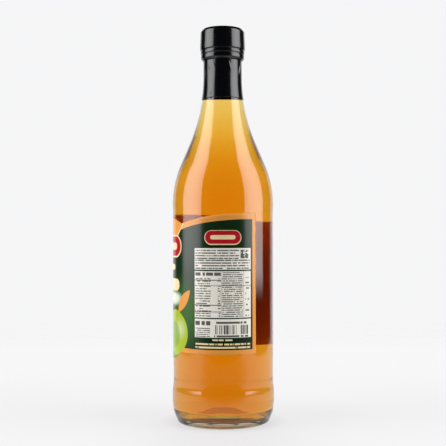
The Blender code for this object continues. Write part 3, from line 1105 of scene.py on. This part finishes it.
class Press:
    """Lays fields of colour over each other, in millimetres on the paper."""

    def __init__(self, tree, on_side):
        """On a side panel, lengths are counted from the panel's middle towards the sheet's end."""
        self.tree = tree
        self.along, self.up = self.split("print")
        self.below_top = self.split("margin")[0]
        self.seed_shift = 0.0
        if on_side:
            self.seed_shift = self.sums("MULTIPLY", self.sums("SIGN", self.along), FAR_SEED)
            self.along = self.sums("SUBTRACT", self.sums("ABSOLUTE", self.along), PANEL_MIDDLE)
        self.colour = None

    def split(self, map_name):
        """Both numbers of one of the label's own UV maps."""
        node = self.tree.nodes.new("ShaderNodeUVMap")
        node.uv_map = map_name
        parts = self.tree.nodes.new("ShaderNodeSeparateXYZ")
        feed(self.tree, parts.inputs[0], node.outputs["UV"])
        return parts.outputs["X"], parts.outputs["Y"]

    def sums(self, operation, *values):
        """One sum in this material's own tree."""
        return maths(self.tree, operation, *values)

    def both(self, *masks):
        """Where all the masks hold."""
        result = masks[0]
        for mask in masks[1:]:
            result = self.sums("MULTIPLY", result, mask)
        return result

    def box(self, left, right, low, high):
        """1 inside a rectangle."""
        across = self.sums("COMPARE", self.along, (left + right) / 2, (right - left) / 2)
        up = self.sums("COMPARE", self.up, (low + high) / 2, (high - low) / 2)
        return self.both(across, up)

    def distance(self, along, up, squeeze=1.0, straight=0.0):
        """Distance from a level stretch of a given half length, with heights counted squeeze times."""
        across = self.sums("SUBTRACT", self.along, along)
        if straight:
            past_end = self.sums("SUBTRACT", self.sums("ABSOLUTE", across), straight)
            across = self.sums("MAXIMUM", past_end, 0.0)
        lifted = self.sums("MULTIPLY", self.sums("SUBTRACT", self.up, up), squeeze)
        return diagonal(self.tree, across, lifted)

    def disc(self, along, up, radius, straight=0.0):
        """1 inside a disc, or inside a bar with round ends where a straight half length is given."""
        return self.sums("LESS_THAN", self.distance(along, up, 1.0, straight), radius)

    def leaf(self, start, end, width):
        """1 inside a leaf: where two discs overlap whose edges cross at start and end."""
        start, end = np.array(start), np.array(end)
        half = np.linalg.norm(end - start) / 2
        radius = (half**2 + width**2) / (2 * width)
        across = np.array([start[1] - end[1], end[0] - start[0]]) / (2 * half)
        middle = (start + end) / 2
        one = middle + across * (radius - width)
        other = middle - across * (radius - width)
        return self.both(self.disc(*one.tolist(), radius), self.disc(*other.tolist(), radius))

    def blocks(self, left, right, low, high, pitch, share, cell, seed, fill=0.86):
        """Rows of plain blocks of uneven length inside a rectangle, like very small print.

        The height above the box's foot over the pitch gives the row, and a random value for
        each cell of each row decides whether it is inked.
        """
        rows = self.sums("DIVIDE", self.sums("SUBTRACT", self.up, low), pitch)
        row = self.sums("FLOOR", rows)
        inked = self.sums("LESS_THAN", self.sums("FRACT", rows), share)
        letter = self.sums("FLOOR", self.sums("DIVIDE", self.along, cell))
        word = self.sums("FLOOR", self.sums("DIVIDE", self.along, cell * WORD_CELLS))
        small = self.sums("LESS_THAN", self.chance(letter, row, seed), fill)
        large = self.sums("LESS_THAN", self.chance(word, row, seed + 5.0), fill + WORD_FILL)
        return self.both(self.box(left, right, low, high), inked, self.both(small, large))

    def chance(self, column, row, seed):
        """A random value for each pair of whole numbers."""
        node = self.tree.nodes.new("ShaderNodeCombineXYZ")
        feed(self.tree, node.inputs["X"], column)
        feed(self.tree, node.inputs["Y"], row)
        feed(self.tree, node.inputs["Z"], self.sums("ADD", self.seed_shift, seed))
        random = self.tree.nodes.new("ShaderNodeTexWhiteNoise")
        random.noise_dimensions = "3D"
        feed(self.tree, random.inputs["Vector"], node.outputs[0])
        return random.outputs["Value"]

    def fade(self, value, start, end):
        """Falls smoothly from 1 at start to 0 at end."""
        return smooth_ramp(self.tree, value, start, end, 1.0, 0.0)

    def lay(self, colour, mask=1.0):
        """Prints a colour through a mask over what is there already."""
        if self.colour is None:
            self.colour = colour
            return
        self.colour = mixed(self.tree, mask, self.colour, colour)


# %% Colours of the inks
INK_GREEN = shade(18, 42, 20)
INK_MID_GREEN = shade(62, 102, 48)
INK_ORANGE = shade(227, 152, 72)
INK_CREAM = shade(240, 218, 170)
INK_RED = shade(176, 26, 38)
INK_LIME = shade(166, 184, 50)
INK_LEAF = shade(98, 150, 50)
INK_GLOW = shade(222, 232, 208)
PAPER = shade(244, 240, 229)
INK_GREY = shade(98, 96, 90)


# %% Print the front
def print_border(press):
    """Orange along the bottom and, wider, along the arched top edge."""
    press.lay(INK_ORANGE, press.sums("LESS_THAN", press.up, BORDER_TOP))
    press.lay(INK_ORANGE, press.sums("LESS_THAN", press.below_top, TOP_BORDER))


def print_front(press):
    """Green ground, a pale glow, a banner, a plain red bar, cream bars, a leaf and roundels."""
    press.lay(INK_GREEN)
    side = press.sums("ABSOLUTE", press.along)
    press.lay(INK_MID_GREEN, press.fade(press.distance(22.0, 72.0, 0.75), 4.0, 22.0))
    press.lay(INK_GLOW, press.fade(press.distance(2.0, 81.5, 2.2, 8.0), 4.0, 13.0))
    print_border(press)
    lean = press.sums("SUBTRACT", press.up, press.sums("MULTIPLY", side, 1.08))
    above = press.sums("GREATER_THAN", press.up, 121.0)
    inside = press.sums("LESS_THAN", side, NOTCH_ALONG + 2.0)
    press.lay(INK_CREAM, press.both(press.sums("GREATER_THAN", lean, 105.2), above, inside))
    press.lay(INK_ORANGE, press.both(press.sums("GREATER_THAN", lean, 106.5), above, inside))
    press.lay(INK_CREAM, press.disc(0.0, 115.0, 7.3, straight=12.4))
    press.lay(INK_RED, press.disc(0.0, 115.0, 6.3, straight=12.4))
    press.lay(INK_CREAM, press.disc(0.0, 115.0, 2.3, straight=11.5))
    press.lay(INK_CREAM, press.disc(0.0, 101.5, 1.9, straight=8.4))
    press.lay(INK_CREAM, press.disc(0.0, 90.2, 3.9, straight=13.2))
    press.lay(INK_ORANGE, press.leaf((27.6, 87.4), (15.6, 72.6), 3.3))
    print_roundels(press)


def print_roundels(press):
    """Plain overlapping discs low on the front, which also fill the part that hangs down."""
    low = press.sums("LESS_THAN", press.up, 51.5)
    press.lay(INK_LEAF, press.both(press.disc(3.8, 64.0, 22.2), low))
    press.lay(INK_LEAF, press.disc(-6.0, 60.0, 14.0))
    press.lay(INK_LIME, press.disc(11.1, 59.6, 14.6))
    shine = press.both(press.disc(11.1, 59.6, 14.6), press.fade(press.distance(17.0, 62.0), 1.0, 9.0))
    press.lay(INK_GLOW, press.both(shine, 0.45))
    press.lay(INK_LEAF, press.both(press.disc(9.0, 58.0, 8.5), 0.5))


# %% Print the side panels
RULES = [  # height, thickness and right end of the table's level rules
    (93.6, 0.55, -1.0),
    (90.3, 0.35, 18.5),
    (78.0, 0.55, -1.0),
    (73.9, 0.45, -1.0),
]
UPRIGHT_RULES = (-1.0, 13.4)
MARKS = [(-18.0, -14.8), (-13.6, -11.4), (-10.6, -7.8)]  # sides of the three small squares


def print_ground(press):
    """Green ground with its border, a plain red bar, and light rows under the boxes."""
    press.lay(INK_GREEN)
    glow = press.fade(press.distance(22.0 - PANEL_MIDDLE, 72.0, 0.75), 4.0, 22.0)
    press.lay(INK_MID_GREEN, glow)
    print_border(press)
    border_start = SHEET_END - BORDER - PANEL_MIDDLE
    press.lay(INK_ORANGE, press.sums("GREATER_THAN", press.along, border_start))
    press.lay(INK_CREAM, press.disc(0.2, 120.5, 4.6, straight=7.2))
    press.lay(INK_RED, press.disc(0.2, 120.7, 4.1, straight=7.2))
    press.lay(INK_CREAM, press.disc(0.2, 120.7, 1.35, straight=6.6))
    press.lay(INK_CREAM, press.blocks(-6.5, 6.2, 56.0, 57.0, 1.2, 0.85, 0.5, 19.0))
    press.lay(INK_CREAM, press.blocks(-18.4, 18.0, 51.2, 54.4, 2.15, 0.52, 0.5, 21.0))


def print_rows(press):
    """The top box: eight rows, the upper four short to leave room for a small speckled square."""
    press.lay(PAPER)
    press.lay(INK_GREY, press.blocks(-18.0, 10.4, 107.1, 113.6, 1.66, 0.48, 0.42, 1.0))
    press.lay(INK_GREY, press.blocks(-18.0, 17.8, 100.9, 107.0, 1.66, 0.48, 0.42, 2.0))
    press.lay(INK_GREY, press.blocks(11.4, 16.8, 107.5, 112.9, 0.55, 1.0, 0.55, 4.0, 0.74))


def print_table(press):
    """The ruled table: a heavy heading, thin and thick rules, two upright rules and small rows."""
    press.lay(PAPER)
    press.lay(INK_GREY, press.blocks(-18.0, -1.2, 96.7, 98.7, 2.1, 1.0, 0.75, 8.0, 0.82))
    press.lay(INK_GREY, press.blocks(-18.0, -7.5, 71.2, 95.8, 1.55, 0.42, 0.4, 9.0, 0.78))
    press.lay(INK_GREY, press.blocks(-3.0, -1.4, 71.2, 95.8, 1.55, 0.5, 0.5, 10.0, 0.78))
    press.lay(INK_GREY, press.blocks(-0.4, 12.8, 71.0, 98.8, 1.3, 0.5, 0.4, 11.0, 0.84))
    press.lay(INK_GREY, press.blocks(14.6, 17.2, 71.2, 95.6, 3.44, 0.25, 0.6, 12.0, 0.7))
    for height, thick, right in RULES:
        press.lay(INK_GREY, press.box(-18.5, right, height, height + thick))
    for along in UPRIGHT_RULES:
        press.lay(INK_GREY, press.box(along, along + 0.18, 70.4, 99.5))


def print_stripes(press):
    """The lowest box: three small squares, rows under them, and a block of upright stripes."""
    press.lay(PAPER)
    for left, right in MARKS:
        press.lay(INK_GREY, press.box(left, right, 65.7, 68.3))
    press.lay(INK_GREY, press.blocks(-18.0, -8.0, 58.4, 64.6, 1.25, 0.45, 0.38, 31.0))
    press.lay(INK_GREY, press.blocks(-4.1, 15.6, 66.7, 68.0, 1.4, 1.0, 0.45, 33.0))
    press.lay(INK_GREY, press.blocks(-4.7, 16.4, 60.1, 65.8, 6.0, 1.0, 0.3, 35.0, 0.62))
    press.lay(INK_GREY, press.blocks(-5.5, 16.5, 58.3, 59.5, 1.5, 0.85, 0.95, 37.0))


# %% Ink and varnish
def print_finish(name, draw, on_side):
    """Ink and varnish on paper: the printed colour under a satin coat with a fine grain."""
    material, tree, shader = new_material(name)
    press = Press(tree, on_side)
    draw(press)
    feed(tree, shader.inputs["Base Color"], press.colour)
    shader.inputs["Roughness"].default_value = 0.2
    shader.inputs["IOR"].default_value = 1.4
    relief(tree, shader, noise(tree, object_place(tree), 700.0, 3.0, 0.6), 0.01 * MM, 0.5)
    print(name, len(tree.nodes), "nodes")
    return material


def paper_finish():
    """The sheet's plain back and cut edge: matt off-white with a faint fibre."""
    material, tree, shader = new_material("label_paper")
    fibre = noise(tree, object_place(tree), 500.0, 4.0, 0.7)
    feed(tree, shader.inputs["Base Color"], ranged(tree, fibre, 0.8, 0.92))
    shader.inputs["Roughness"].default_value = 0.8
    return material


area_materials = [
    print_finish("print_front", print_front, False),
    print_finish("print_ground", print_ground, True),
    print_finish("print_rows", print_rows, True),
    print_finish("print_table", print_table, True),
    print_finish("print_stripes", print_stripes, True),
]
label_sheet = make_label(area_materials, paper_finish())
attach(label_sheet, "root")
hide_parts("label")

# %% [markdown]
# ## How light is followed
# A ray passes six skins on its way through a full bottle, and more where it bounces inside the
# wall, so the light paths are allowed to be long. Colours are shown as they are measured, with
# no film look. Reflections that come after a blurry one are softened a little, against specks.

# %% Set the light paths
scene = bpy.context.scene
scene.view_settings.view_transform = "Standard"
scene.cycles.max_bounces = 32
scene.cycles.transmission_bounces = 32
scene.cycles.glossy_bounces = 12
scene.cycles.transparent_max_bounces = 16
scene.cycles.blur_glossy = 0.3
